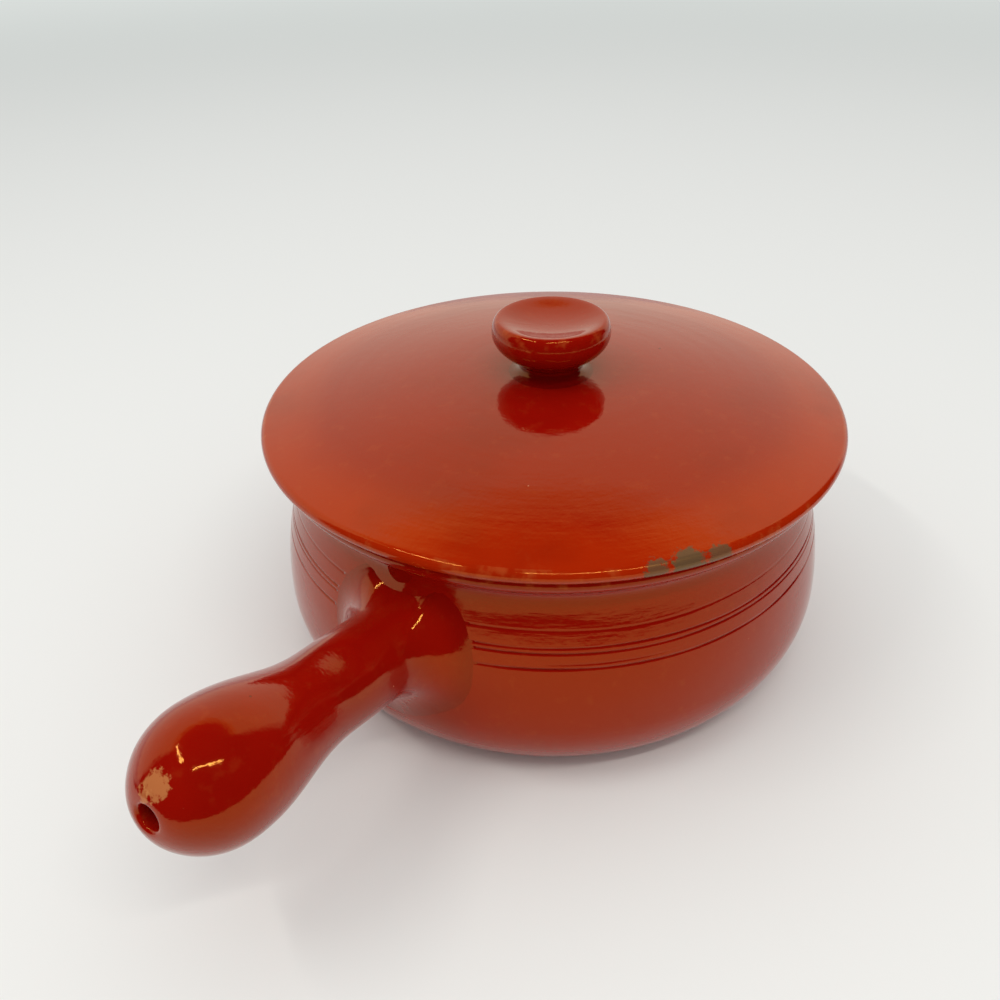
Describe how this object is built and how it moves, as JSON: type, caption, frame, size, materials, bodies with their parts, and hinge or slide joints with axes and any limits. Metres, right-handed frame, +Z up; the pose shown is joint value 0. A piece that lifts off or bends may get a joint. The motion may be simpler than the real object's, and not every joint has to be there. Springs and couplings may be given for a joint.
{
  "type": "earthenware pan with lid",
  "caption": "Squat glazed earthenware pan with a hollow club handle and a loose domed lid with a knob.",
  "frame": {"origin": "centre of the flat foot, on the bowl's axis, on the surface that the pan stands on", "axes": "+Z up along the bowl's axis; +X from the bowl towards the handle's end"},
  "size_m": [0.3461, 0.24, 0.1443],
  "materials": {
    "bowl_glaze": "gloss",
    "handle_glaze": "gloss",
    "lid_glaze": "gloss"
  },
  "bodies": {
    "pan": {"pan_bowl": "bowl_glaze", "pan_handle": "handle_glaze", "handle_weld": "handle_glaze"},
    "lid": {"lid_plate": "lid_glaze", "lid_flange": "lid_glaze", "lid_knob": "lid_glaze", "knob_coil": "lid_glaze"}
  },
  "joints": [
    {"name": "lid_lift", "type": "slide", "parent": "pan", "child": "lid", "axis": [0, 0, 1], "range_m": [0, 0.12]}
  ]
}
